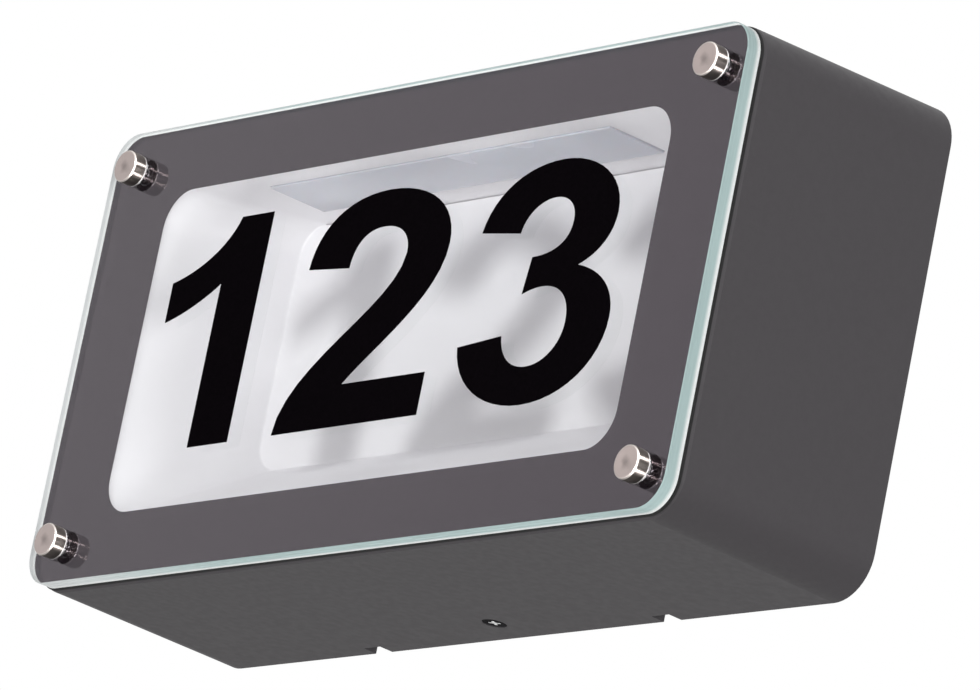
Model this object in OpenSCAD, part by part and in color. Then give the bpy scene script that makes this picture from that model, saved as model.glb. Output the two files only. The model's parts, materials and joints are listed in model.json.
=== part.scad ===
// Illuminated house-number wall light: a cast housing with a glass front.
// X runs to the right, Y into the wall and Z up. The wall plane is y = 0,
// and its centre behind the light is the origin. Depths are distances
// from the wall plane towards the viewer.

/* [Glass front] */
// Width of the glass panel
glass_w = 290; // [270:1:320]
// Height of the glass panel
glass_h = 143.6; // [138:0.1:170]
// Thickness of the glass panel
glass_t = 5; // [4:0.5:8]
// Corner radius of the glass panel
glass_r = 10; // [8:0.5:12]
// Ground chamfer along the edges of the glass
glass_arris = 0.4; // [0.2:0.1:1]
// Width of the printed border at the left and the right
border_side = 29.2; // [26:0.1:45]
// Width of the printed border at the top and the bottom
border_end = 20.7; // [19:0.1:30]
// Corner radius of the window
window_r = 11.5; // [8:0.5:15]
// Thickness of the printed border and of the digits
film_t = 0.15; // [0.1:0.05:0.3]
// Thickness of the foam gasket behind the glass
gasket_t = 0.6; // [0.4:0.1:1.5]
// Width of the foam gasket
gasket_w = 6.5; // [4:0.5:8]
// Distance of the foam gasket from the edge of the glass
gasket_inset = 0.4; // [0.2:0.1:3]

/* [Digits] */
// Height of the digits
digit_h = 72; // [50:1:75]
// Height of the digits' baseline above the centre of the window
digit_base = -34.3; // [-38:0.1:-30]
// Distance of the digit one from the left edge of the window
digit_left = 14.5; // [5:0.5:20]
// Left edge of the digit two from the middle of the window
two_x = -37.5; // [-42:0.5:-35]
// Distance of the digit three from the right edge of the window
digit_right = 8.5; // [5:0.5:16]

/* [Cap nuts] */
// Diameter of a cap nut
cap_d = 10.2; // [9:0.1:13]
// Height of a cap nut
cap_h = 4.3; // [4:0.1:8]
// Chamfer of a cap nut
cap_chamfer = 0.4; // [0.2:0.1:0.8]
// Depth of the turned dimple in the face of a cap nut
cap_dimple = 0.15; // [0.05:0.05:0.3]
// Thickness of the closed end of a cap nut
cap_end_t = 1.2; // [0.8:0.1:2]
// Distance of a cap nut from the two glass edges beside it
cap_inset = 12.4; // [11:0.1:15]
// Diameter of the threaded studs
stud_d = 4; // [3:0.5:5]
// Depth of a stud in its boss
stud_grip = 9; // [6:0.5:12]
// Diameter of a stud boss
boss_d = 9; // [8:0.5:10]
// Length of a stud boss
boss_h = 12; // [10:0.5:16]
// Wall of the sleeves round the studs in the glass
sleeve_wall = 0.6; // [0.4:0.1:0.8]
// Thickness of the washer under a cap nut
washer_t = 0.3; // [0.2:0.1:0.8]

/* [Housing] */
// Depth of the front of the housing from the wall
house_depth = 72.1; // [66:0.1:90]
// How far the housing reaches past the glass at the front
house_margin = 0.9; // [0.5:0.1:3]
// Corner radius of the housing at the front
house_r = 12.1; // [11:0.1:15]
// Draft angle of the housing sides
draft = 1.1; // [0:0.1:1.5]
// Thickness of the housing sides
house_wall = 2.4; // [2:0.1:3]
// Thickness of the housing front
face_t = 2.5; // [2.2:0.1:3.5]
// Chamfer of the housing's front edge
house_edge = 0.8; // [0.4:0.1:1.5]
// Gap between the housing rim and the wall
rim_gap = 0.5; // [0.3:0.1:1]
// Width of the inner ledge
ledge_w = 4; // [3:0.5:5]
// Thickness of the inner ledge
ledge_t = 2; // [1.5:0.5:3]
// Width of a drain notch
drain_w = 7.6; // [6:0.1:10]
// Depth of a drain notch from the wall
drain_h = 5.4; // [5:0.1:7]
// Distance of a drain notch from the middle
drain_x = 65.2; // [50:0.1:90]

/* [Wall plate] */
// Thickness of the wall plate
plate_t = 2; // [1.5:0.1:3]
// Height of the folded rim of the wall plate
rim_h = 17; // [15:0.5:20]
// Thickness of the folded rim
rim_t = 1.6; // [1.2:0.1:2]
// Width of the rim's inward flange
flange_w = 5; // [4:0.5:6]
// Thickness of the rubber seal on the flange
seal_t = 1.5; // [1:0.1:2.5]
// Width of the rubber seal
seal_w = 3.6; // [3:0.1:4]
// Distance between the two wall screw holes
wall_hole_pitch = 220; // [200:1:230]
// Diameter of the wall screw holes
wall_hole_d = 5.2; // [4.2:0.1:6]
// Diameter of the cable hole in the plate
cable_hole_d = 14; // [12:0.5:18]
// Diameter of the cable that the grommet takes
cable_d = 9; // [7:0.5:10]
// Height of the cable hole below the middle
cable_drop = 26; // [20:1:30]

/* [Lock screw] */
// Thread diameter of the lock screw
lock_d = 4; // [3:0.5:4]
// Head diameter of the lock screw
lock_head_d = 7.6; // [7:0.1:8.4]
// Distance of the lock screw behind the front of the rim
lock_back = 4.2; // [4:0.1:7]
// Length of the lock screw
lock_l = 10; // [8.5:0.5:12]
// Width across the square nut
nut_w = 7; // [6:0.5:7]
// Thickness of the square nut
nut_t = 2.4; // [1.6:0.1:3.2]

/* [Light box] */
// How far each side of the light box leans in towards its back wall
box_side = 18.3; // [10:0.1:25]
// How far the floor of the light box rises towards its back wall
box_floor = 24.2; // [15:0.1:30]
// Depth of the back wall from the wall plane
box_back = 34.3; // [32:0.1:36]
// Corner radius of the back wall
box_r = 10; // [8:0.5:12]
// How far the light box opening reaches past the window
box_lip = 0.4; // [0.2:0.1:1]
// Sheet thickness of the light box
box_t = 1.5; // [1.2:0.1:2]
// Width of the mounting flange of the light box
box_flange = 7; // [6.6:0.1:7.5]
// Distance of the light box screws from the ends of the window
box_screw_in = 18.5; // [15:0.5:26]
// Length of the lamp window in the ceiling
lamp_l = 155; // [130:1:158]
// Width of the lamp window in the ceiling
lamp_w = 21.2; // [16:0.1:22]
// Distance of the middle of the lamp behind the front of the housing
lamp_back = 18.1; // [17.5:0.1:21]
// Height of the lamp tray above the ceiling
lamp_h = 11; // [9:0.5:12.5]
// How far the opal cover stands out of the ceiling
opal_drop = 0.6; // [0.2:0.1:1]
// Number of light-emitting diodes
led_count = 14; // [8:1:18]

/* [Electrical parts] */
// Length of the driver
driver_l = 88; // [70:1:92]
// Width of the driver
driver_w = 34; // [28:1:38]
// Height of the driver
driver_h = 21; // [16:0.5:23]
// Pitch of the terminals
term_pitch = 10; // [8:0.5:12]
// Height of the terminal block
term_h = 15; // [12:0.5:18]

/* [Fits] */
// Radial running clearance of screws and nuts
run_gap = 0.05; // [0.03:0.01:0.08]
// Gap between separate bodies that slide past each other
slide_gap = 0.4; // [0.3:0.05:0.5]
// Gap around inserted covers and sleeves
seat_gap = 0.1; // [0.05:0.05:0.2]

/* [Hidden] */

$fn = 64;
eps = 0.01;

// Depths from the wall plane
face_back = house_depth - face_t;
print_y = house_depth + gasket_t;
glass_back = print_y + film_t;
glass_front = glass_back + glass_t;
cap_seat = glass_front + washer_t;
mouth_y = print_y - slide_gap;
seal_y = rim_h;
ledge_y = rim_h + seal_t;
lock_y = rim_h - lock_back;
lamp_y = house_depth - lamp_back;

// Window in the printed border
window_w = glass_w - 2 * border_side;
window_h = glass_h - 2 * border_end;

// Housing outline: a core rectangle with a radius that grows to the rear
house_w = glass_w + 2 * house_margin;
house_h = glass_h + 2 * house_margin;
core_x = house_w / 2 - house_r;
core_z = house_h / 2 - house_r;
function outer_r(y) = house_r + (house_depth - y) * tan(draft);
function inner_r(y) = outer_r(y) - house_wall;
plate_r = inner_r(rim_h) - slide_gap;
rim_in_r = plate_r - rim_t;
seal_r = plate_r - 0.6;

// Fastening points
cap_x = glass_w / 2 - cap_inset;
cap_z = glass_h / 2 - cap_inset;
stud_r = stud_d / 2;
sleeve_bore_r = stud_r + 0.3;
sleeve_d = 2 * (sleeve_bore_r + sleeve_wall);
lock_r = lock_d / 2;
head_r = lock_head_d / 2;
head_t = head_r - lock_r;
lock_face = core_z + outer_r(lock_y) - 0.15;

// Light box
box_w = window_w - 2 * box_side;
box_h = window_h - box_floor;
box_screw_x = window_w / 2 - box_screw_in;
box_top = window_h / 2;
box_mid_z = box_top - box_h / 2;
front_w = window_w + 2 * box_lip;
front_h = window_h + 2 * box_lip;
front_r = window_r + box_lip;
mouth_grow = box_t + seat_gap;
ceiling_z = box_top + box_lip;
roof_z = ceiling_z + box_t;
box_flange_w = front_w + 2 * box_t + 2 * box_flange;
box_flange_h = front_h + 2 * box_t + 2 * box_flange;
box_screw_z = front_h / 2 + box_t + box_flange / 2 + 0.2;
box_screw_r = 1.4;
box_screw_grip = face_t - 0.8;

// Lamp above the ceiling
opal_lip = 1.5;
opal_lip_t = 1;
tray_t = 1.2;
tray_l = lamp_l + 2 * opal_lip + 2 * seat_gap + 2 * tray_t;
tray_w = lamp_w + 2 * opal_lip + 2 * seat_gap + 2 * tray_t;
tray_top = roof_z + lamp_h;
tab_l = 9;
tab_z = roof_z + 4;
tab_x = tray_l / 2 + tab_l / 2;
lamp_screw_r = 1.3;
board_t = 1.6;
board_l = lamp_l - 6;
board_w = lamp_w - 6;
board_z = tray_top - tray_t - board_t;
chip_w = 3;
chip_t = 0.7;

// Electrical parts on the wall plate
driver_x = 52;
driver_z = 18;
lid_t = 1.5;
term_poles = 3;
term_l = term_poles * term_pitch + 2;
term_w = 20;
term_x = -48;
term_z = 14;
term_screw_r = 1.7;
wire_r = 1.9;
fix_r = 1.5;
earth_x = -82;
earth_z = 14;
earth_r = 2;
earth_boss_h = 3;
tag_t = 0.8;
bead_x = core_x - 44;
bead_z = core_z - 12;
bead_w = 6;

// Digits are drawn with cubic curves on a grid of 72 units, from the baseline up
digit_scale = digit_h / 72;
one_x = -window_w / 2 + digit_left;
three_x = window_w / 2 - digit_right - 65.5 * digit_scale;
curve_n = 12;
function cubic(a, b, c, d, t) =
    pow(1 - t, 3) * a + 3 * t * pow(1 - t, 2) * b
    + 3 * t * t * (1 - t) * c + t * t * t * d;
function curve(a, b, c, d) =
    [for (i = [1:curve_n]) cubic(a, b, c, d, i / curve_n)];

// Places flat work at a depth: its Y becomes Z, its Z faces the viewer
module at_depth(y) {
    rotate([90, 0, 0]) translate([0, 0, y]) children();
}

module rounded_rect(w, h, r) {
    translate([-w / 2 + r, -h / 2]) square([w - 2 * r, h]);
    translate([-w / 2, -h / 2 + r]) square([w, h - 2 * r]);
    for (x = [-1, 1], z = [-1, 1]) {
        translate([x * (w / 2 - r), z * (h / 2 - r)]) circle(r = r);
    }
}

module plate_shape(w, h, r, t) {
    linear_extrude(t) rounded_rect(w, h, r);
}

// Sweeps a profile of radius and depth round a rounded rectangle
module ring_sweep(a, b) {
    for (side = [0, 1]) mirror([side, 0, 0]) {
        translate([a, 0, 0]) rotate([90, 0, 0])
            linear_extrude(2 * b, center = true) children();
        for (end = [0, 1]) mirror([0, end, 0])
            translate([a, b, 0]) rotate_extrude(angle = 90) children();
    }
    for (side = [0, 1]) mirror([0, side, 0])
        translate([0, b, 0]) rotate([90, 0, 90])
            linear_extrude(2 * a, center = true) children();
}

// A drafted block: the sweep of a closed profile and its core
module drafted_block(r_rear, r_front, y0, y1, chamfer) {
    ring_sweep(core_x, core_z) polygon([
        [0, y0], [r_rear, y0], [r_front, y1 - chamfer],
        [r_front - chamfer, y1], [0, y1]
    ]);
    translate([-core_x, -core_z, y0])
        cube([2 * core_x, 2 * core_z, y1 - y0]);
}

// A straight block with the housing's core and its own corner radius
module core_block(r, y0, y1) {
    translate([0, 0, y0])
        plate_shape(2 * (core_x + r), 2 * (core_z + r), r, y1 - y0);
}

module at_caps() {
    for (x = [-1, 1], z = [-1, 1]) {
        translate([x * cap_x, z * cap_z, 0]) children();
    }
}

module at_box_screws() {
    for (x = [-1, 1], z = [-1, 1]) {
        translate([x * box_screw_x, z * box_screw_z, 0]) children();
    }
}

module pan_screw(r, head, length, head_h) {
    cylinder(r = r, h = length + eps);
    translate([0, 0, length]) difference() {
        cylinder(r1 = head, r2 = head - 0.4, h = head_h);
        for (a = [0, 90]) rotate([0, 0, a])
            translate([-head * 0.55, -0.3, head_h - 0.9])
                cube([head * 1.1, 0.6, 1]);
    }
}

module wall_plate() {
    color("silver") at_depth(0) difference() {
        union() {
            core_block(plate_r, 0, plate_t);
            difference() {
                core_block(plate_r, plate_t - eps, rim_h);
                core_block(rim_in_r, plate_t - 1, rim_h - rim_t);
                core_block(plate_r - flange_w, plate_t, rim_h + 1);
            }
            // Cheeks that keep the square nut from turning
            for (s = [-1, 1])
                translate([s * (nut_w / 2 + slide_gap + 0.75) - 0.75,
                    -core_z - rim_in_r - eps, plate_t - eps])
                    cube([1.5, nut_t + 1, rim_h - plate_t]);
            // Raised pads under the driver, the terminals and the earth screw
            for (s = [-1, 1])
                translate([driver_x + s * (driver_l / 2 + 5), driver_z, plate_t - eps])
                    cylinder(d = 8, h = 1.5);
            translate([term_x, term_z, plate_t - eps])
                cylinder(d = 8, h = 1);
            translate([earth_x, earth_z, plate_t - eps])
                cylinder(r = earth_r + 2.2, h = earth_boss_h);
            // Stiffening beads across the plate
            for (s = [-1, 1])
                translate([-bead_x, s * bead_z - bead_w / 2, plate_t - eps])
                    cube([2 * bead_x, bead_w, 1.2]);
        }
        for (s = [-1, 1]) translate([s * wall_hole_pitch / 2, 0, -1])
            cylinder(d = wall_hole_d, h = plate_t + 2);
        translate([0, -cable_drop, -1])
            cylinder(d = cable_hole_d, h = plate_t + 2);
        for (s = [-1, 1])
            translate([driver_x + s * (driver_l / 2 + 5), driver_z, 0.6])
                cylinder(r = fix_r + run_gap, h = 6);
        translate([term_x, term_z, 0.6])
            cylinder(r = fix_r + run_gap, h = 6);
        translate([earth_x, earth_z, 0.8])
            cylinder(r = earth_r + run_gap, h = 8);
        // Slot for the lock screw, open to the front
        translate([-lock_r - slide_gap, -core_z - plate_r - 1, lock_y])
            cube([2 * (lock_r + slide_gap), rim_t + 2, rim_h]);
        translate([0, -core_z - plate_r - 1, lock_y]) rotate([-90, 0, 0])
            cylinder(r = lock_r + slide_gap, h = rim_t + 2);
        // Way for the nut through the flange
        translate([-nut_w / 2 - slide_gap, -core_z - rim_in_r, rim_h - rim_t - 1])
            cube([nut_w + 2 * slide_gap, flange_w + 1, rim_t + 2]);
    }
}

module rim_seal() {
    color("dimgray") at_depth(seal_y) difference() {
        core_block(seal_r, 0, seal_t);
        core_block(seal_r - seal_w, -1, seal_t + 1);
        translate([-nut_w / 2 - 2, -core_z - plate_r - 1, -1])
            cube([nut_w + 4, flange_w + 3, seal_t + 2]);
    }
}

module cable_grommet() {
    r_hole = cable_hole_d / 2 - run_gap;
    r_cable = cable_d / 2;
    color("dimgray") at_depth(0) translate([0, -cable_drop, 0])
        rotate_extrude() polygon([
            [r_cable, 0], [r_hole, 0], [r_hole, plate_t],
            [r_hole + 2.5, plate_t], [r_hole + 2.5, plate_t + 1.5],
            [r_hole + 1, plate_t + 3], [r_cable + 1.2, plate_t + 7],
            [r_cable, plate_t + 7]
        ]);
}

module at_terminals() {
    for (i = [0:term_poles - 1]) {
        translate([(i - (term_poles - 1) / 2) * term_pitch, 0, 0]) children();
    }
}

module terminal_block() {
    y0 = plate_t + 1;
    gate = term_pitch - 2.4;
    color("whitesmoke") at_depth(y0) translate([term_x, term_z, 0]) difference() {
        union() {
            translate([-term_l / 2, -term_w / 2, 0])
                cube([term_l, term_w, term_h * 0.55]);
            at_terminals() translate([-gate / 2, -term_w / 2 + 1, 0])
                cube([gate, term_w - 2, term_h]);
        }
        at_terminals() {
            translate([0, 0, term_h * 0.4]) rotate([90, 0, 0])
                cylinder(r = wire_r, h = term_w + 2, center = true);
            for (s = [-1, 1]) translate([0, s * term_w * 0.27, term_h * 0.4])
                cylinder(r = term_screw_r + run_gap, h = term_h);
        }
        translate([0, 0, -1]) cylinder(r = fix_r + run_gap, h = term_h * 0.4 - wire_r);
    }
}

module terminal_screws() {
    color("gold") at_depth(plate_t + 1) translate([term_x, term_z, 0])
        at_terminals() for (s = [-1, 1])
            translate([0, s * term_w * 0.27, term_h * 0.4 + 0.4]) difference() {
                cylinder(r = term_screw_r, h = term_h * 0.45);
                translate([-term_screw_r, -0.3, term_h * 0.45 - 0.7])
                    cube([2 * term_screw_r, 0.6, 1]);
            }
}

module terminal_fixing() {
    color("silver") at_depth(0.8) translate([term_x, term_z, 0])
        cylinder(r = fix_r, h = plate_t + 1 + term_h * 0.4 - wire_r - 2);
}

module earth_tag() {
    color("gold") at_depth(plate_t + earth_boss_h) translate([earth_x, earth_z, 0])
        difference() {
            union() {
                cylinder(r = earth_r + 2.4, h = tag_t);
                translate([-2.2, -16, 0]) cube([4.4, 14, tag_t]);
                translate([0, -16, 2]) rotate([90, 0, 0])
                    cylinder(r = 2.2, h = 6);
            }
            translate([0, 0, -1]) cylinder(r = earth_r + seat_gap, h = tag_t + 2);
            translate([0, -15, 2]) rotate([90, 0, 0]) cylinder(r = 1.2, h = 8);
        }
}

module earth_screw() {
    color("goldenrod") at_depth(1) translate([earth_x, earth_z, 0])
        pan_screw(earth_r, earth_r + 1.9, plate_t + earth_boss_h + tag_t - 1, 2.4);
}

module driver_case() {
    color("whitesmoke") at_depth(plate_t + 1.5) translate([driver_x, driver_z, 0])
        difference() {
            union() {
                plate_shape(driver_l, driver_w, 3, driver_h - lid_t);
                plate_shape(driver_l + 18, 12, 5, 2);
            }
            translate([0, 0, lid_t])
                plate_shape(driver_l - 3, driver_w - 3, 1.5, driver_h);
            for (s = [-1, 1]) translate([s * (driver_l / 2 + 5), 0, -1])
                cylinder(r = fix_r + seat_gap, h = 6);
            for (s = [-1, 1]) translate([s * driver_l / 2, 0, driver_h * 0.5])
                rotate([0, 90, 0]) cylinder(r = 3, h = 8, center = true);
        }
}

module driver_lid() {
    color("white") at_depth(plate_t + 1.5 + driver_h - lid_t)
        translate([driver_x, driver_z, 0]) {
            plate_shape(driver_l, driver_w, 3, lid_t);
            for (i = [-3:3]) translate([i * driver_l / 9, 0, lid_t - eps])
                plate_shape(2, driver_w - 10, 0.9, 0.8);
            translate([0, 0, -2.5]) difference() {
                plate_shape(driver_l - 3.2, driver_w - 3.2, 1.4, 2.5 + eps);
                translate([0, 0, -1])
                    plate_shape(driver_l - 6, driver_w - 6, 1, 4);
            }
        }
}

module driver_screws() {
    color("silver") at_depth(0.8) for (s = [-1, 1])
        translate([driver_x + s * (driver_l / 2 + 5), driver_z, 0])
            pan_screw(fix_r, fix_r + 1.4, plate_t + 1.5 + 2 - 0.8, 1.8);
}

// The cast shell with its window, bosses, ledge and drain notches
module housing() {
    color("#4a484a") at_depth(0) difference() {
        union() {
            difference() {
                drafted_block(outer_r(rim_gap), outer_r(house_depth - house_edge),
                    rim_gap, house_depth, house_edge);
                drafted_block(inner_r(-1), inner_r(face_back - 1.5),
                    -1, face_back, 1.5);
            }
            // Ledge that seats on the rubber seal
            difference() {
                core_block(inner_r(ledge_y) + 0.5, ledge_y, ledge_y + ledge_t);
                core_block(inner_r(ledge_y) - ledge_w - slide_gap, ledge_y - 1,
                    ledge_y + ledge_t + 1);
            }
            // Stud bosses with their ribs
            intersection() {
                at_caps() translate([0, 0, face_back - boss_h])
                    cylinder(d = boss_d, h = boss_h + 1);
                core_block(inner_r(face_back) + 0.5, 0, house_depth - 1);
            }
            for (x = [-1, 1], z = [-1, 1])
                translate([x * (cap_x + boss_d / 4), z * cap_z - 1, face_back - boss_h + 1])
                    mirror([x > 0 ? 0 : 1, 0, 0])
                        cube([core_x + inner_r(face_back) - cap_x - boss_d / 4 + 0.5,
                            2, boss_h]);
            // Stiffening ribs on the top and the bottom wall
            for (x = [-1, 1], z = [-1, 1]) translate([x * 110, 0, 0])
                mirror([0, z > 0 ? 0 : 1, 0])
                    translate([-1, core_z + inner_r(face_back) - 5, ledge_y + ledge_t - eps])
                        cube([2, 5 + house_wall / 2, face_back - ledge_y - ledge_t + 1]);
        }
        // Opening that takes the mouth of the light box
        translate([0, 0, face_back - 1]) plate_shape(front_w + 2 * mouth_grow,
            front_h + 2 * mouth_grow, front_r + mouth_grow, face_t + 2);
        at_caps() translate([0, 0, house_depth - stud_grip])
            cylinder(r = stud_r + run_gap, h = stud_grip + 1);
        at_box_screws() translate([0, 0, face_back - 1])
            cylinder(r = box_screw_r + run_gap, h = 1 + box_screw_grip + 0.2);
        for (s = [-1, 1]) translate([s * drain_x - drain_w / 2, -core_z - 30, -1])
            cube([drain_w, 26, drain_h + 1]);
        // Countersunk hole for the lock screw
        translate([0, -lock_face, lock_y]) rotate([-90, 0, 0]) {
            translate([0, 0, -2]) cylinder(r = head_r + run_gap, h = 2 + eps);
            cylinder(r1 = head_r + run_gap, r2 = lock_r + run_gap, h = head_t);
            cylinder(r = lock_r + run_gap, h = house_wall + 3);
        }
    }
}

module lock_nut() {
    z = core_z + rim_in_r - seat_gap;
    color("silver") at_depth(lock_y) difference() {
        translate([-nut_w / 2, -z, -nut_w / 2])
            cube([nut_w, nut_t, nut_w]);
        translate([0, -z - 1, 0]) rotate([-90, 0, 0])
            cylinder(r = lock_r + run_gap, h = nut_t + 2);
    }
}

module lock_screw() {
    color("silver") at_depth(lock_y) translate([0, -lock_face, 0]) rotate([-90, 0, 0])
        difference() {
            union() {
                cylinder(r1 = head_r, r2 = lock_r, h = head_t);
                cylinder(r = lock_r, h = lock_l - 0.6);
                translate([0, 0, lock_l - 0.6])
                    cylinder(r1 = lock_r, r2 = lock_r - 0.6, h = 0.6);
            }
            for (a = [0, 90]) rotate([0, 0, a + 30])
                translate([-2.1, -0.45, -1]) cube([4.2, 0.9, 2.3]);
        }
}

// Blends the small back wall into the mouth behind the printed border
module box_form(grow, y0, y1) {
    hull() {
        translate([0, box_mid_z + box_lip / 2, y0]) plate_shape(
            box_w + 2 * grow, box_h + box_lip + 2 * grow, box_r + grow, eps);
        translate([0, 0, y1 - eps]) plate_shape(
            front_w + 2 * grow, front_h + 2 * grow, front_r + grow, eps);
    }
}

// Moulded reflector: flat ceiling, sloped sides and floor
module light_box() {
    color("white") at_depth(0) difference() {
        union() {
            box_form(box_t, box_back - box_t, mouth_y);
            translate([0, 0, face_back - box_t]) plate_shape(
                box_flange_w, box_flange_h, front_r + box_t + box_flange - 3, box_t);
            // Pillars for the lamp tray
            for (s = [-1, 1]) translate([s * tab_x, roof_z - 0.5, lamp_y])
                rotate([-90, 0, 0]) cylinder(r = 3.6, h = tab_z - roof_z + 0.5);
        }
        box_form(0, box_back, mouth_y + eps);
        // Lamp opening in the ceiling
        translate([-lamp_l / 2 - seat_gap, ceiling_z - 2, lamp_y - lamp_w / 2 - seat_gap])
            cube([lamp_l + 2 * seat_gap, box_t + 4, lamp_w + 2 * seat_gap]);
        at_box_screws() translate([0, 0, face_back - box_t - 1])
            cylinder(r = box_screw_r + run_gap, h = box_t + 2);
        for (s = [-1, 1]) translate([s * tab_x, roof_z + 0.4, lamp_y])
            rotate([-90, 0, 0]) cylinder(r = lamp_screw_r + run_gap, h = 6);
    }
}

module box_screws() {
    color("silver") at_depth(face_back + box_screw_grip) at_box_screws()
        mirror([0, 0, 1])
            pan_screw(box_screw_r, 2.6, box_screw_grip + box_t, 1.8);
}

// Folded tray that carries the lamp board over the ceiling
module lamp_tray() {
    color("lightgray") at_depth(0) difference() {
        union() {
            translate([-tray_l / 2, roof_z, lamp_y - tray_w / 2])
                cube([tray_l, tray_top - roof_z, tray_w]);
            for (s = [-1, 1]) translate([s * tab_x - tab_l / 2 - eps, tab_z, lamp_y - 5])
                cube([tab_l + 2 * eps, tray_t, 10]);
        }
        translate([-tray_l / 2 + tray_t, roof_z - 1, lamp_y - tray_w / 2 + tray_t])
            cube([tray_l - 2 * tray_t, tray_top - tray_t - roof_z + 1,
                tray_w - 2 * tray_t]);
        for (s = [-1, 1]) translate([s * tab_x, tab_z - 1, lamp_y])
            rotate([-90, 0, 0]) cylinder(r = lamp_screw_r + run_gap, h = 4);
        // Hole for the lead of the board
        translate([tray_l / 2 - 8, tray_top - 2, lamp_y]) rotate([-90, 0, 0])
            cylinder(r = 2.5, h = 4);
    }
}

module lamp_screws() {
    color("silver") at_depth(0) for (s = [-1, 1])
        translate([s * tab_x, roof_z + 0.6, lamp_y]) rotate([-90, 0, 0])
            pan_screw(lamp_screw_r, 2.5, tab_z + tray_t - roof_z - 0.6, 1.6);
}

module led_board() {
    color("white") at_depth(0)
        translate([-board_l / 2, board_z, lamp_y - board_w / 2])
            cube([board_l, board_t, board_w]);
}

module led_chips() {
    pitch = board_l / led_count;
    color("yellow") at_depth(0) for (i = [0:led_count - 1])
        translate([(i - (led_count - 1) / 2) * pitch - chip_w / 2,
            board_z - chip_t, lamp_y - chip_w / 2])
            cube([chip_w, chip_t, chip_w]);
}

module opal_cover() {
    lip_l = lamp_l + 2 * opal_lip;
    lip_w = lamp_w + 2 * opal_lip;
    color("gainsboro") at_depth(0) {
        translate([-lamp_l / 2, ceiling_z - opal_drop, lamp_y - lamp_w / 2])
            cube([lamp_l, box_t + opal_drop + eps, lamp_w]);
        translate([-lip_l / 2, roof_z, lamp_y - lip_w / 2])
            cube([lip_l, opal_lip_t, lip_w]);
    }
}

module glass_gasket() {
    w = glass_w - 2 * gasket_inset;
    h = glass_h - 2 * gasket_inset;
    r = glass_r - gasket_inset;
    color("black") at_depth(house_depth) difference() {
        plate_shape(w, h, r, gasket_t);
        translate([0, 0, -1]) plate_shape(
            w - 2 * gasket_w, h - 2 * gasket_w, max(r - gasket_w, 1.5), gasket_t + 2);
    }
}

module studs() {
    color("silver") at_depth(house_depth - stud_grip + 0.2) at_caps()
        cylinder(r = stud_r, h = cap_seat + cap_h - cap_end_t - 0.3
            - house_depth + stud_grip - 0.2);
}

module glass_panel() {
    w = glass_w / 2 - glass_r;
    h = glass_h / 2 - glass_r;
    color("lightcyan", 0.4) at_depth(glass_back) difference() {
        union() {
            ring_sweep(w, h) polygon([
                [0, 0], [glass_r - glass_arris, 0], [glass_r, glass_arris],
                [glass_r, glass_t - glass_arris],
                [glass_r - glass_arris, glass_t], [0, glass_t]
            ]);
            translate([-w, -h, 0]) cube([2 * w, 2 * h, glass_t]);
        }
        at_caps() translate([0, 0, -1])
            cylinder(d = sleeve_d + 2 * seat_gap, h = glass_t + 2);
    }
}

module print_border() {
    inset = glass_arris + 0.1;
    color("#5f5b5e") at_depth(print_y) difference() {
        plate_shape(glass_w - 2 * inset, glass_h - 2 * inset, glass_r - inset, film_t);
        translate([0, 0, -1]) plate_shape(window_w, window_h, window_r, film_t + 2);
        at_caps() translate([0, 0, -1])
            cylinder(d = sleeve_d + 2 * seat_gap, h = film_t + 2);
    }
}

module glass_sleeves() {
    color("#202022") at_depth(print_y + seat_gap / 2) at_caps() difference() {
        cylinder(d = sleeve_d, h = glass_front - print_y - seat_gap / 2);
        translate([0, 0, -1])
            cylinder(r = sleeve_bore_r, h = glass_t + film_t + 2);
    }
}

module cap_washers() {
    color("silver") at_depth(glass_front) at_caps() difference() {
        cylinder(d = cap_d - 2 * seat_gap, h = washer_t);
        translate([0, 0, -1]) cylinder(r = sleeve_bore_r, h = washer_t + 2);
    }
}

// A turned cap nut with a chamfered rim, a dimpled face and a blind bore
module cap_nut(x, z) {
    r = cap_d / 2;
    bore = stud_r + run_gap;
    depth = cap_h - cap_end_t;
    color("silver") at_depth(cap_seat) translate([x, z, 0])
        rotate_extrude() polygon([
            [bore, 0], [r - cap_chamfer / 2, 0], [r, cap_chamfer / 2],
            [r, cap_h - cap_chamfer], [r - cap_chamfer, cap_h],
            [r - cap_chamfer - 0.6, cap_h],
            [r * 0.45, cap_h - cap_dimple * 0.7],
            [0, cap_h - cap_dimple], [0, depth], [bore, depth]
        ]);
}

module cap_top_left() { cap_nut(-cap_x, cap_z); }
module cap_top_right() { cap_nut(cap_x, cap_z); }
module cap_bottom_left() { cap_nut(-cap_x, -cap_z); }
module cap_bottom_right() { cap_nut(cap_x, -cap_z); }

// Places a digit's outline on the front of the glass
module digit(x) {
    color("#101010") at_depth(glass_front) translate([x, digit_base, 0])
        linear_extrude(film_t) scale([digit_scale, digit_scale]) children();
}

module digit_one() {
    digit(one_x) polygon(concat(
        [[24, 0], [43, 0], [43, 72], [28, 72]],
        curve([28, 72], [24, 63], [12, 56.5], [0, 54]),
        [[0, 41.5]],
        curve([0, 41.5], [9, 43.5], [19, 48], [24, 51.5])
    ));
}

module digit_two() {
    digit(two_x) polygon(concat(
        [[0, 0], [66.5, 0], [66.5, 13], [28.5, 13]],
        curve([28.5, 13], [40, 23.5], [66, 36], [66, 52.5]),
        curve([66, 52.5], [66, 64], [53, 72.5], [33.5, 72.5]),
        curve([33.5, 72.5], [14.5, 72.5], [3, 64], [2, 51]),
        [[21, 49.5]],
        curve([21, 49.5], [21.5, 56], [25, 61], [34, 61]),
        curve([34, 61], [41.5, 61], [47, 57.5], [47, 51.5]),
        curve([47, 51.5], [46, 35], [1, 22], [0, 0])
    ));
}

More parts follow.
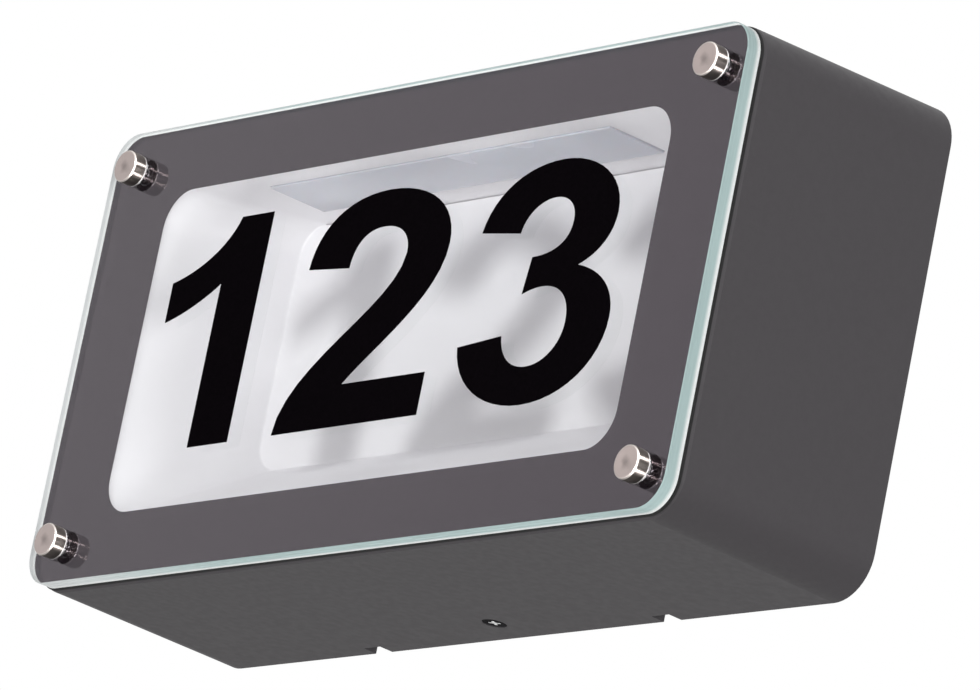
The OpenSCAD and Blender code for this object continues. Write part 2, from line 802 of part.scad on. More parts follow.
module digit_three() {
    digit(three_x) polygon(concat(
        [[0, 19]],
        curve([0, 19], [2, 7], [16, -1.5], [33, -1.5]),
        curve([33, -1.5], [51.5, -1.5], [65.5, 8.5], [65.5, 21.5]),
        curve([65.5, 21.5], [65.5, 30], [58, 36.5], [47, 39]),
        curve([47, 39], [55.5, 41.5], [60.5, 47], [60.5, 53.5]),
        curve([60.5, 53.5], [60.5, 64], [47.5, 72.5], [32, 72.5]),
        curve([32, 72.5], [16, 72.5], [3.5, 65.5], [1, 53.5]),
        [[18.5, 51.5]],
        curve([18.5, 51.5], [19.5, 57], [25, 61], [31.5, 61]),
        curve([31.5, 61], [37, 61], [41.5, 58], [41.5, 53]),
        curve([41.5, 53], [41.5, 46.5], [35, 43.5], [26, 43.5]),
        [[24.5, 32.5]],
        curve([24.5, 32.5], [27.5, 33.5], [30, 34], [33, 34]),
        curve([33, 34], [41, 34], [46.5, 29.5], [46.5, 22]),
        curve([46.5, 22], [46.5, 15.5], [40.5, 10], [32.5, 10]),
        curve([32.5, 10], [25.5, 10], [20, 14], [19, 20.5])
    ));
}

wall_plate();
rim_seal();
cable_grommet();
terminal_block();
terminal_screws();
terminal_fixing();
earth_tag();
earth_screw();
driver_case();
driver_lid();
driver_screws();
housing();
lock_nut();
light_box();
box_screws();
lamp_tray();
lamp_screws();
led_board();
led_chips();
opal_cover();
glass_gasket();
studs();
glass_panel();
print_border();
digit_one();
digit_two();
digit_three();
glass_sleeves();
cap_washers();
cap_top_left();
cap_top_right();
cap_bottom_left();
cap_bottom_right();
lock_screw();
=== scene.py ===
import json
import math

import bmesh
import bpy
from bpy.props import FloatProperty, FloatVectorProperty, IntProperty, PointerProperty
from bpy.types import Operator, Panel, PropertyGroup
from mathutils import Matrix, Vector

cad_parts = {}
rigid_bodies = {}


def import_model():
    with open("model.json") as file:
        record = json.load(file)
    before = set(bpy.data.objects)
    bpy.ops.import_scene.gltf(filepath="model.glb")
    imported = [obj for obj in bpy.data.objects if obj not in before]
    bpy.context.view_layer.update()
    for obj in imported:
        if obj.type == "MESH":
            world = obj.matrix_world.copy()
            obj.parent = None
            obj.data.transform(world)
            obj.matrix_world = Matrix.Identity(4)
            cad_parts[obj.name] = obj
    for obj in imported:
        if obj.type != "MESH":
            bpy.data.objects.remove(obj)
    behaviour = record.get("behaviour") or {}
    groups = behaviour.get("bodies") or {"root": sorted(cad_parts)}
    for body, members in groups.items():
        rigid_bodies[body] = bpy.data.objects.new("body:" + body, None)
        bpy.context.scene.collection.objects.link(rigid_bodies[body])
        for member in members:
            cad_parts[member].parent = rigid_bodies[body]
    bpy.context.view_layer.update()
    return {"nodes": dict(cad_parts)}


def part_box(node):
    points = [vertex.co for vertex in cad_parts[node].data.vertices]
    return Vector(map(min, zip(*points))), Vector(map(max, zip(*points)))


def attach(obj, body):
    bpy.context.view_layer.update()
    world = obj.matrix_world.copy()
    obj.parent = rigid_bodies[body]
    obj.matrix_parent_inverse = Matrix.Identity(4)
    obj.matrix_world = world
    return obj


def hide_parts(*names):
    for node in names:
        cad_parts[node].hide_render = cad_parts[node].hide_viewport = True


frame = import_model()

bl_info = {
    "name": "House number wall light",
    "version": (1, 0, 0),
    "blender": (4, 5, 0),
    "location": "3D View > Sidebar > Wall light",
    "description": "Dresses the parts of a lit house-number box and sets up its studio",
    "category": "Object",
}

MM = 0.001


# -------------------- colours

def linear(text):
    """An sRGB colour such as #4f4c4f as linear red, green, blue and alpha."""
    parts = [int(text[i:i + 2], 16) / 255 for i in (1, 3, 5)]
    return tuple(
        c / 12.92 if c <= 0.04045 else ((c + 0.055) / 1.055) ** 2.4 for c in parts) + (1.0,)


def tone(name, description, value):
    """A colour property that starts from an sRGB hex value."""
    return FloatVectorProperty(
        name=name, description=description, subtype="COLOR", size=4,
        min=0.0, max=1.0, default=linear(value))


def shade(colour, share):
    """A colour made darker or lighter by a share, with full alpha."""
    return (*(Vector(colour[:3]) * share), 1.0)


# -------------------- settings

class GlassFrontSettings(PropertyGroup):
    edge_colour: tone("Edge colour", "Green-white of the ground glass edge", "#b8cfce")
    border_colour: tone("Border colour", "Enamel printed behind the glass", "#0e090e")
    digit_colour: tone("Digit colour", "Film that the digits are cut from", "#080608")
    arris: FloatProperty(
        name="Arris", description="Width of the ground chamfer on the glass edges",
        default=0.3 * MM, min=0.0002, max=0.001, unit="LENGTH", subtype="DISTANCE")


class HousingSettings(PropertyGroup):
    paint_colour: tone("Paint colour", "Anthracite powder coat", "#373437")
    peel: FloatProperty(
        name="Orange peel", description="Length of the slow ripple in the powder coat",
        default=2.6 * MM, min=0.0005, max=0.01, unit="LENGTH", subtype="DISTANCE")
    grit: FloatProperty(
        name="Grit", description="Size of the grains in the powder coat",
        default=0.8 * MM, min=0.0001, max=0.003, unit="LENGTH", subtype="DISTANCE")


class CapNutSettings(PropertyGroup):
    # The side's steel is painted darker than the faced end: painted shade for the dark surroundings
    # that it mirrors
    shaded_side_colour: tone("Metal colour", "Turned side of the stainless cap nuts", "#625c59")
    end_colour: tone("End colour", "Faced end of the cap nuts", "#968b88")
    feed: FloatProperty(
        name="Turning feed", description="Distance between two turning grooves",
        default=0.45 * MM, min=0.0001, max=0.001, unit="LENGTH", subtype="DISTANCE")
    steps: IntProperty(
        name="Steps", description="Number of faces round a cap nut", default=96, min=24, max=256)


class LightBoxSettings(PropertyGroup):
    white: tone("Reflector white", "Moulded white plastic of the light box", "#e2e0e3")
    cover_colour: tone("Cover colour", "Opal cover of the lamp, unlit", "#b8bbc4")
    fillet: FloatProperty(
        name="Fillet", description="Radius between the back wall and the sides",
        default=0.5 * MM, min=0.0003, max=0.004, unit="LENGTH", subtype="DISTANCE")


class StudioSettings(PropertyGroup):
    focal_length: FloatProperty(
        name="Focal length", description="Lens of the camera in millimetres",
        default=314.6689, min=20.0, max=500.0)
    sky: FloatProperty(
        name="Sky", description="Even light from all round", default=0.1, min=0.0, max=2.0)
    key_power: FloatProperty(
        name="Key lamp", description="Power of the soft lamp in front",
        default=20.0, min=0.0, max=200.0, unit="POWER")
    fill_power: FloatProperty(
        name="Fill lamp", description="Power of the broad lamp on the right",
        default=38.0, min=0.0, max=200.0, unit="POWER")
    top_strength: FloatProperty(
        name="Overhead light", description="Strength of the even soft light from above",
        default=1.45, min=0.0, max=20.0)
    low_power: FloatProperty(
        name="Low lamp", description="Power of the lamp in front and below",
        default=5.0, min=0.0, max=200.0, unit="POWER")
    nut_power: FloatProperty(
        name="Nut lamps", description="Power of each of the two lamps that reach only the cap nuts",
        default=95.0, min=0.0, max=200.0, unit="POWER")


# -------------------- node helper

def add(tree, kind, inputs=None, **settings):
    """Adds a node to a tree, sets its settings, and fills or links its inputs."""
    made = tree.nodes.new(kind)
    for key, value in settings.items():
        setattr(made, key, value)
    for key, value in (inputs or {}).items():
        if isinstance(value, bpy.types.NodeSocket):
            tree.links.new(value, made.inputs[key])
        else:
            made.inputs[key].default_value = value
    return made


def new_material(name):
    """An empty node material and its tree."""
    made = bpy.data.materials.new(name)
    made.use_nodes = True
    made.node_tree.nodes.clear()
    return made, made.node_tree


def surface(tree, shader):
    """Sends a shader to the material's output."""
    add(tree, "ShaderNodeOutputMaterial", {"Surface": shader})


# -------------------- materials

def powder_coat(settings):
    """Polyester powder coat, sprayed on and baked. It gives a matt, slightly gritty skin
    with a slow ripple, and no clear reflections."""
    made, t = new_material("powder_coat_anthracite")
    where = add(t, "ShaderNodeTexCoord").outputs["Object"]
    # The real grit is about 0.1 mm; it is drawn coarser, or it would vanish at this distance
    grit = add(t, "ShaderNodeTexNoise", {
        "Vector": where, "Scale": 1 / settings.grit, "Detail": 2.0, "Roughness": 0.6})
    peel = add(t, "ShaderNodeTexNoise", {
        "Vector": where, "Scale": 1 / settings.peel, "Detail": 1.0})
    cloud = add(t, "ShaderNodeTexNoise", {"Vector": where, "Scale": 14.0, "Detail": 1.0})
    base = settings.paint_colour
    tint = add(t, "ShaderNodeMix", {
        "Factor": cloud.outputs["Fac"],
        "A": shade(base, 0.97), "B": shade(base, 1.03)}, data_type="RGBA")
    speck = add(t, "ShaderNodeMapRange", {
        "Value": grit.outputs["Fac"], "From Min": 0.35, "From Max": 0.75,
        "To Min": 0.97, "To Max": 1.05})
    coat = add(t, "ShaderNodeVectorMath", {
        0: tint.outputs["Result"], "Scale": speck.outputs["Result"]}, operation="SCALE")
    rough = add(t, "ShaderNodeMapRange", {
        "Value": peel.outputs["Fac"], "From Min": 0.3, "From Max": 0.7,
        "To Min": 0.55, "To Max": 0.61})
    fine = add(t, "ShaderNodeBump", {
        "Height": grit.outputs["Fac"], "Strength": 0.2, "Distance": 0.03 * MM})
    slow = add(t, "ShaderNodeBump", {
        "Height": peel.outputs["Fac"], "Strength": 0.08, "Distance": 0.04 * MM,
        "Normal": fine.outputs["Normal"]})
    skin = add(t, "ShaderNodeBsdfPrincipled", {
        "Base Color": coat.outputs["Vector"], "Roughness": rough.outputs["Result"],
        "IOR": 1.48, "Normal": slow.outputs["Normal"]})
    surface(t, skin.outputs["BSDF"])
    return made


def float_glass():
    """Clear float glass, drawn on molten tin. It shows what is behind it and mirrors the
    studio faintly on its front and its back. Lamps and the even light reach through it."""
    made, t = new_material("float_glass_clear")
    path = add(t, "ShaderNodeLightPath")
    lit = add(t, "ShaderNodeMath", {
        0: path.outputs["Is Shadow Ray"], 1: path.outputs["Is Diffuse Ray"]}, operation="MAXIMUM")
    pane = add(t, "ShaderNodeBsdfPrincipled", {
        "Base Color": linear("#ffffff"), "Roughness": 0.0, "IOR": 1.52,
        "Transmission Weight": 1.0, "Specular Tint": linear("#d5c1d5")})
    clear = add(t, "ShaderNodeBsdfTransparent", {"Color": linear("#fafbfb")})
    both = add(t, "ShaderNodeMixShader", {
        "Fac": lit.outputs["Value"], 1: pane.outputs["BSDF"], 2: clear.outputs["BSDF"]})
    surface(t, both.outputs["Shader"])
    return made


def ground_edge(settings, front, back):
    """Ground and polished edge of float glass. The iron in the long way through the pane
    gives a pale green band on the right and below. The left side and the top are painted
    nearly white as painted light, and a white line along the rear arris is a painted highlight."""
    made, t = new_material("float_glass_ground_edge")
    spot = add(t, "ShaderNodeTexCoord")
    where = spot.outputs["Object"]
    place_on = add(t, "ShaderNodeSeparateXYZ", {"Vector": where})
    depth = place_on.outputs["Y"]
    # Painted light: the left side and the top of the edge are painted paler, nearly white
    leftward = add(t, "ShaderNodeMapRange", {
        "Value": place_on.outputs["X"], "From Min": -145 * MM, "From Max": -40 * MM,
        "To Min": 1.0, "To Max": 0.0}, interpolation_type="SMOOTHSTEP")
    facing = add(t, "ShaderNodeVectorMath", {
        0: spot.outputs["Normal"], 1: (-1.0, 0.0, 1.0)}, operation="DOT_PRODUCT")
    painted_light_side = add(t, "ShaderNodeMath", {
        0: facing.outputs["Value"], 1: leftward.outputs["Result"]}, operation="MAXIMUM",
        use_clamp=True)
    # Painted highlight: a white line along the rear arris, blended in by depth
    line = add(t, "ShaderNodeMapRange", {
        "Value": depth, "From Min": back - 2.2 * MM, "From Max": back - 0.6 * MM,
        "To Min": 0.0, "To Max": 1.0}, interpolation_type="SMOOTHSTEP")
    # Grinding marks run along the pane, about 0.3 mm apart
    streaks = add(t, "ShaderNodeMapping", {"Vector": where, "Scale": (60.0, 900.0, 60.0)})
    marks = add(t, "ShaderNodeTexNoise", {
        "Vector": streaks.outputs["Vector"], "Scale": 1.0, "Detail": 2.0})
    drift = add(t, "ShaderNodeTexNoise", {"Vector": where, "Scale": 22.0, "Detail": 2.0})
    base = settings.edge_colour
    green = add(t, "ShaderNodeMix", {
        "Factor": drift.outputs["Fac"],
        "A": shade(base, 0.82), "B": shade(base, 1.12)}, data_type="RGBA")
    tinted = add(t, "ShaderNodeMix", {
        "Factor": painted_light_side.outputs["Value"], "A": green.outputs["Result"],
        "B": linear("#dfe3e3")}, data_type="RGBA")
    band = add(t, "ShaderNodeMix", {
        "Factor": line.outputs["Result"], "A": tinted.outputs["Result"],
        "B": linear("#fbfefd")}, data_type="RGBA")
    rough = add(t, "ShaderNodeMapRange", {
        "Value": marks.outputs["Fac"], "From Min": 0.3, "From Max": 0.7,
        "To Min": 0.18, "To Max": 0.34})
    skin = add(t, "ShaderNodeBsdfPrincipled", {
        "Base Color": band.outputs["Result"], "Roughness": rough.outputs["Result"], "IOR": 1.52})
    glow = add(t, "ShaderNodeBsdfTranslucent", {"Color": band.outputs["Result"]})
    both = add(t, "ShaderNodeMixShader", {
        "Fac": 0.4, 1: skin.outputs["BSDF"], 2: glow.outputs["BSDF"]})
    surface(t, both.outputs["Shader"])
    return made


def printed_enamel(settings):
    """Screen-printed enamel on the back of the glass. It is even and dark, with a trace
    of the screen's weave."""
    made, t = new_material("printed_enamel_border")
    where = add(t, "ShaderNodeTexCoord").outputs["Object"]
    cloud = add(t, "ShaderNodeTexNoise", {"Vector": where, "Scale": 9.0, "Detail": 2.0})
    # The screen has about 5 threads a millimetre; it is drawn at 1, so that it can show
    weave = add(t, "ShaderNodeTexNoise", {"Vector": where, "Scale": 1 / (1.0 * MM), "Detail": 0.0})
    base = settings.border_colour
    ink = add(t, "ShaderNodeMix", {
        "Factor": cloud.outputs["Fac"],
        "A": shade(base, 0.92), "B": shade(base, 1.08)}, data_type="RGBA")
    rough = add(t, "ShaderNodeMapRange", {
        "Value": weave.outputs["Fac"], "To Min": 0.36, "To Max": 0.5})
    skin = add(t, "ShaderNodeBsdfPrincipled", {
        "Base Color": ink.outputs["Result"], "Roughness": rough.outputs["Result"],
        "IOR": 1.5, "Specular IOR Level": 0.0})
    surface(t, skin.outputs["BSDF"])
    return made


def digit_film(settings):
    """Deep matt black sign film, cast and knife-cut. It swallows nearly all light. Its
    adhesive side, which lies on the glass, is pale."""
    made, t = new_material("black_cast_film")
    spot = add(t, "ShaderNodeTexCoord")
    where = spot.outputs["Object"]
    facing = add(t, "ShaderNodeSeparateXYZ", {"Vector": spot.outputs["Normal"]}).outputs["Y"]
    rear = add(t, "ShaderNodeMath", {0: facing, 1: 0.5}, operation="GREATER_THAN")
    # The film's matt grain is about 0.05 mm; it is drawn at 0.7
    grain = add(t, "ShaderNodeTexNoise", {"Vector": where, "Scale": 1 / (0.7 * MM), "Detail": 1.0})
    base = settings.digit_colour
    ink = add(t, "ShaderNodeMix", {
        "Factor": grain.outputs["Fac"],
        "A": shade(base, 0.7), "B": shade(base, 1.5)}, data_type="RGBA")
    sides = add(t, "ShaderNodeMix", {
        "Factor": rear.outputs["Value"], "A": ink.outputs["Result"],
        "B": linear("#e4e4e4")}, data_type="RGBA")
    rough = add(t, "ShaderNodeMapRange", {
        "Value": grain.outputs["Fac"], "To Min": 0.6, "To Max": 0.8})
    skin = add(t, "ShaderNodeBsdfPrincipled", {
        "Base Color": sides.outputs["Result"], "Roughness": rough.outputs["Result"],
        "Specular IOR Level": 0.0})
    surface(t, skin.outputs["BSDF"])
    return made


def turned_side(settings):
    """Stainless steel turned on a lathe. The fine grooves run round, so a highlight stays
    narrow round the nut and is drawn out along it as a bright streak."""
    made, t = new_material("turned_stainless_steel")
    where = add(t, "ShaderNodeTexCoord").outputs["Object"]
    # The real grooves are about 0.1 mm apart; they are drawn coarser, or they would vanish
    grooves = add(t, "ShaderNodeMapping", {
        "Vector": where, "Scale": (0.05 / settings.feed, 1 / settings.feed, 0.05 / settings.feed)})
    marks = add(t, "ShaderNodeTexNoise", {
        "Vector": grooves.outputs["Vector"], "Scale": 1.0, "Detail": 1.0})
    # The side's steel is painted darker than the faced end, as painted shade
    base = settings.shaded_side_colour
    metal = add(t, "ShaderNodeMix", {
        "Factor": marks.outputs["Fac"],
        "A": shade(base, 0.85), "B": shade(base, 1.12)}, data_type="RGBA")
    rough = add(t, "ShaderNodeMapRange", {
        "Value": marks.outputs["Fac"], "From Min": 0.3, "From Max": 0.7,
        "To Min": 0.34, "To Max": 0.4})
    round_way = add(t, "ShaderNodeTangent", direction_type="RADIAL", axis="Y")
    skin = add(t, "ShaderNodeBsdfPrincipled", {
        "Base Color": metal.outputs["Result"], "Roughness": rough.outputs["Result"],
        "Metallic": 1.0, "Anisotropic": 1.0, "Anisotropic Rotation": 0.25,
        "Tangent": round_way.outputs["Tangent"]})
    surface(t, skin.outputs["BSDF"])
    return made


def faced_end(settings):
    """Faced end of a turned stainless steel nut: a satin warm grey with faint rings, darker
    towards the axis, and a painted highlight on the rim."""
    made, t = new_material("faced_stainless_steel")
    where = add(t, "ShaderNodeTexCoord").outputs["Object"]
    # The real feed is about 0.1 mm; it is drawn coarser, or it would vanish at this distance
    rings = add(t, "ShaderNodeTexWave", {
        "Vector": where, "Scale": 2 * math.pi / 20 / settings.feed, "Distortion": 0.6,
        "Detail": 1.0, "Detail Scale": 0.4}, wave_type="RINGS", rings_direction="Y")
    haze = add(t, "ShaderNodeTexNoise", {"Vector": where, "Scale": 300.0, "Detail": 2.0})
    flat = add(t, "ShaderNodeVectorMath", {0: where, 1: (1.0, 0.0, 1.0)}, operation="MULTIPLY")
    out = add(t, "ShaderNodeVectorMath", {0: flat.outputs["Vector"]}, operation="LENGTH")
    # The face is darker towards the axis
    wide = add(t, "ShaderNodeMapRange", {
        "Value": out.outputs["Value"], "From Min": 0.3 * MM, "From Max": 4.2 * MM,
        "To Min": 0.0, "To Max": 0.9})
    mix = add(t, "ShaderNodeMath", {
        0: wide.outputs["Result"], 1: haze.outputs["Fac"]}, operation="ADD")
    base = settings.end_colour
    metal = add(t, "ShaderNodeMix", {
        "Factor": mix.outputs["Value"],
        "A": shade(base, 0.5), "B": shade(base, 1.2)}, data_type="RGBA")
    # The rounded rim is painted bright: a painted highlight
    rim = add(t, "ShaderNodeMapRange", {
        "Value": out.outputs["Value"], "From Min": 4.6 * MM, "From Max": 4.8 * MM,
        "To Min": 0.0, "To Max": 1.0}, interpolation_type="SMOOTHSTEP")
    metal = add(t, "ShaderNodeMix", {
        "Factor": rim.outputs["Result"], "A": metal.outputs["Result"],
        "B": linear("#b4ada8")}, data_type="RGBA")
    rough = add(t, "ShaderNodeMapRange", {
        "Value": haze.outputs["Fac"], "To Min": 0.3, "To Max": 0.42})
    bump = add(t, "ShaderNodeBump", {
        "Height": rings.outputs["Fac"], "Strength": 0.2, "Distance": 0.01 * MM})
    skin = add(t, "ShaderNodeBsdfPrincipled", {
        "Base Color": metal.outputs["Result"], "Roughness": rough.outputs["Result"],
        "Metallic": 1.0, "Normal": bump.outputs["Normal"]})
    surface(t, skin.outputs["BSDF"])
    return made


def reflector_white(settings):
    """White polycarbonate, injection moulded with a fine satin texture. It is bright and
    even, with a soft sheen."""
    made, t = new_material("moulded_white_polycarbonate")
    where = add(t, "ShaderNodeTexCoord").outputs["Object"]
    cloud = add(t, "ShaderNodeTexNoise", {"Vector": where, "Scale": 12.0, "Detail": 2.0})
    # The satin texture is about 0.1 mm; it is drawn at 0.9
    satin = add(t, "ShaderNodeTexNoise", {"Vector": where, "Scale": 1 / (0.9 * MM), "Detail": 1.0})
    base = settings.white
    tint = add(t, "ShaderNodeMix", {
        "Factor": cloud.outputs["Fac"],
        "A": shade(base, 0.97), "B": shade(base, 1.0)}, data_type="RGBA")
    rough = add(t, "ShaderNodeMapRange", {
        "Value": satin.outputs["Fac"], "To Min": 0.38, "To Max": 0.52})
    bump = add(t, "ShaderNodeBump", {
        "Height": satin.outputs["Fac"], "Strength": 0.15, "Distance": 0.02 * MM})
    skin = add(t, "ShaderNodeBsdfPrincipled", {
        "Base Color": tint.outputs["Result"], "Roughness": rough.outputs["Result"],
        "IOR": 1.58, "Specular IOR Level": 0.3, "Normal": bump.outputs["Normal"]})
    surface(t, skin.outputs["BSDF"])
    return made


def opal_acrylic(settings):
    """Opal acrylic, extruded and cut. Unlit, it is a cool light grey with a soft gloss."""
    made, t = new_material("opal_acrylic_cover")
    where = add(t, "ShaderNodeTexCoord").outputs["Object"]
    drift = add(t, "ShaderNodeTexNoise", {"Vector": where, "Scale": 16.0, "Detail": 2.0})
    base = settings.cover_colour
    milk = add(t, "ShaderNodeMix", {
        "Factor": drift.outputs["Fac"],
        "A": shade(base, 0.9), "B": shade(base, 1.1)}, data_type="RGBA")
    rough = add(t, "ShaderNodeMapRange", {
        "Value": drift.outputs["Fac"], "To Min": 0.2, "To Max": 0.32})
    skin = add(t, "ShaderNodeBsdfPrincipled", {
        "Base Color": milk.outputs["Result"], "Roughness": rough.outputs["Result"], "IOR": 1.49,
        "Subsurface Weight": 0.2, "Subsurface Scale": 0.001})
    surface(t, skin.outputs["BSDF"])
    return made


def mottled_metal(name, low, high, flake):
    """Bare or plated metal: zinc-plated steel, stamped stainless steel or folded aluminium.
    It has a faint crystal mottle and a dull metal sheen."""
    made, t = new_material(name)
    where = add(t, "ShaderNodeTexCoord").outputs["Object"]
    crystal = add(t, "ShaderNodeTexVoronoi", {"Vector": where, "Scale": 1 / flake})
    haze = add(t, "ShaderNodeTexNoise", {"Vector": where, "Scale": 40.0, "Detail": 3.0})
    shade = add(t, "ShaderNodeSeparateColor", {"Color": crystal.outputs["Color"]}).outputs["Red"]
    metal = add(t, "ShaderNodeMix", {
        "Factor": shade, "A": linear(low), "B": linear(high)}, data_type="RGBA")
    rough = add(t, "ShaderNodeMapRange", {
        "Value": haze.outputs["Fac"], "From Min": 0.3, "From Max": 0.7,
        "To Min": 0.34, "To Max": 0.5})
    skin = add(t, "ShaderNodeBsdfPrincipled", {
        "Base Color": metal.outputs["Result"], "Roughness": rough.outputs["Result"],
        "Metallic": 1.0})
    surface(t, skin.outputs["BSDF"])
    return made


def black_oxide():
    """Blackened stainless steel: a thin dull black coat. The driver's tip has rubbed the
    cross recess bright again."""
    made, t = new_material("blackened_lock_screw")
    where = add(t, "ShaderNodeTexCoord").outputs["Object"]
    wear = add(t, "ShaderNodeTexNoise", {"Vector": where, "Scale": 900.0, "Detail": 2.0})
    coat = add(t, "ShaderNodeMix", {
        "Factor": wear.outputs["Fac"],
        "A": linear("#161617"), "B": linear("#343335")}, data_type="RGBA")
    rough = add(t, "ShaderNodeMapRange", {
        "Value": wear.outputs["Fac"], "To Min": 0.45, "To Max": 0.65})
    skin = add(t, "ShaderNodeBsdfPrincipled", {
        "Base Color": coat.outputs["Result"], "Roughness": rough.outputs["Result"],
        "Specular IOR Level": 0.0})
    surface(t, skin.outputs["BSDF"])
    return made


def moulded(name, dark, light, grain, low, high, depth):
    """Moulded plastic or rubber: an even colour with the fine texture of its mould, which
    breaks the highlight up."""
    made, t = new_material(name)
    where = add(t, "ShaderNodeTexCoord").outputs["Object"]
    pores = add(t, "ShaderNodeTexNoise", {"Vector": where, "Scale": 1 / grain, "Detail": 2.0})
    tint = add(t, "ShaderNodeMix", {
        "Factor": pores.outputs["Fac"], "A": linear(dark), "B": linear(light)}, data_type="RGBA")
    rough = add(t, "ShaderNodeMapRange", {
        "Value": pores.outputs["Fac"], "To Min": low, "To Max": high})
    bump = add(t, "ShaderNodeBump", {
        "Height": pores.outputs["Fac"], "Strength": 0.3, "Distance": depth})
    skin = add(t, "ShaderNodeBsdfPrincipled", {
        "Base Color": tint.outputs["Result"], "Roughness": rough.outputs["Result"],
        "Normal": bump.outputs["Normal"]})
    surface(t, skin.outputs["BSDF"])
    return made


def brass():
    """Turned brass, bare. It is yellow and bright, with slight tarnish in patches."""
    made, t = new_material("turned_brass")
    where = add(t, "ShaderNodeTexCoord").outputs["Object"]
    tarnish = add(t, "ShaderNodeTexNoise", {"Vector": where, "Scale": 300.0, "Detail": 3.0})
    metal = add(t, "ShaderNodeMix", {
        "Factor": tarnish.outputs["Fac"],
        "A": linear("#b08d45"), "B": linear("#d8b96c")}, data_type="RGBA")
    rough = add(t, "ShaderNodeMapRange", {
        "Value": tarnish.outputs["Fac"], "To Min": 0.18, "To Max": 0.42})
    skin = add(t, "ShaderNodeBsdfPrincipled", {
        "Base Color": metal.outputs["Result"], "Roughness": rough.outputs["Result"],
        "Metallic": 1.0})
    surface(t, skin.outputs["BSDF"])
    return made


def phosphor():
    """Silicone with yellow phosphor over a diode: soft, warm yellow with a paler rim."""
    made, t = new_material("diode_phosphor")
    where = add(t, "ShaderNodeTexCoord").outputs["Object"]
    grain = add(t, "ShaderNodeTexNoise", {"Vector": where, "Scale": 1500.0, "Detail": 1.0})
    gel = add(t, "ShaderNodeMix", {
        "Factor": grain.outputs["Fac"],
        "A": linear("#e0b93c"), "B": linear("#f4da7a")}, data_type="RGBA")
    skin = add(t, "ShaderNodeBsdfPrincipled", {
        "Base Color": gel.outputs["Result"], "Roughness": 0.35, "IOR": 1.41})
    surface(t, skin.outputs["BSDF"])
    return made


def paint_nodes(material, *names):
    """Gives CAD nodes a material through their own slots."""
    for name in names:
        for slot in frame["nodes"][name].material_slots:
            slot.material = material


# -------------------- mesh helpers

def from_bmesh(name, bm, materials, smooth_angle):
    """Turns a bmesh into a linked object that is smooth up to an angle."""
    bmesh.ops.recalc_face_normals(bm, faces=bm.faces)
    mesh = bpy.data.meshes.new(name)
    bm.to_mesh(mesh)
    bm.free()
    for material in materials:
        mesh.materials.append(material)
    mesh.shade_smooth()
    mesh.set_sharp_from_angle(angle=math.radians(smooth_angle))
    made = bpy.data.objects.new(name, mesh)
    bpy.context.collection.objects.link(made)
    return made


def place(piece, body, slot, *nodes):
    """Puts a piece on its body and hides the nodes that it stands for. The slot is not used."""
    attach(piece, body)
    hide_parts(*nodes)


def rounded(width, height, radius, steps, middle=0.0):
    """Points (x, z) round a rounded rectangle."""
    points = []
    for sx, sz, start in ((1, 1, 0), (-1, 1, 90), (-1, -1, 180), (1, -1, 270)):
        for i in range(steps + 1):
            a = math.radians(start + 90 * i / steps)
            points.append((
                sx * (width / 2 - radius) + radius * math.cos(a),
                middle + sz * (height / 2 - radius) + radius * math.sin(a)))
    return points


def loop(bm, points, y):
    """Vertices of a closed outline at one depth."""
    return [bm.verts.new((x, y, z)) for x, z in points]


def bridge(bm, a, b, index=0):
    """Faces between two outlines with the same number of points."""
    for i in range(len(a)):
        j = (i + 1) % len(a)
        face = bm.faces.new((a[i], a[j], b[j], b[i]))
        face.material_index = index


def turn(bm, profile, steps, centre, axis="Y", split=None):
    """Turns a profile of (radius, place) round an axis; a radius of 0 closes it. Faces from
    the profile's point number split on get the second finish."""
    rows = []
    for radius, along in profile:
        row = []
        count = 1 if radius == 0 else steps
        for i in range(count):
            a = 2 * math.pi * i / steps
            u, v = radius * math.cos(a), radius * math.sin(a)
            spot = (u, along, v) if axis == "Y" else (u, v, along)
            row.append(bm.verts.new(Vector(centre) + Vector(spot)))
        rows.append(row)
    for k, (a, b) in enumerate(zip(rows, rows[1:])):
        for i in range(steps):
            j = (i + 1) % steps
            corners = [a[i % len(a)], a[j % len(a)], b[j % len(b)], b[i % len(b)]]
            unique = list(dict.fromkeys(corners))
            if len(unique) > 2:
                face = bm.faces.new(unique)
                face.material_index = 1 if split is not None and k >= split else 0


def cut(piece, cutter):
    """Takes a cutter away from a piece and drops the cutter."""
    step = piece.modifiers.new("cut", "BOOLEAN")
    step.operation = "DIFFERENCE"
    step.solver = "EXACT"
    step.object = cutter
    shown = bpy.context.evaluated_depsgraph_get()
    result = bpy.data.meshes.new_from_object(piece.evaluated_get(shown))
    piece.modifiers.clear()
    piece.data = result
    bpy.data.objects.remove(cutter)


# -------------------- pieces

class WALLLIGHT_OT_housing(Operator):
    """Paint the cast housing"""
    bl_idname = "walllight.housing"
    bl_label = "Housing"

    def execute(self, context):
        paint_nodes(powder_coat(context.scene.wl_housing), "housing")
        return {"FINISHED"}


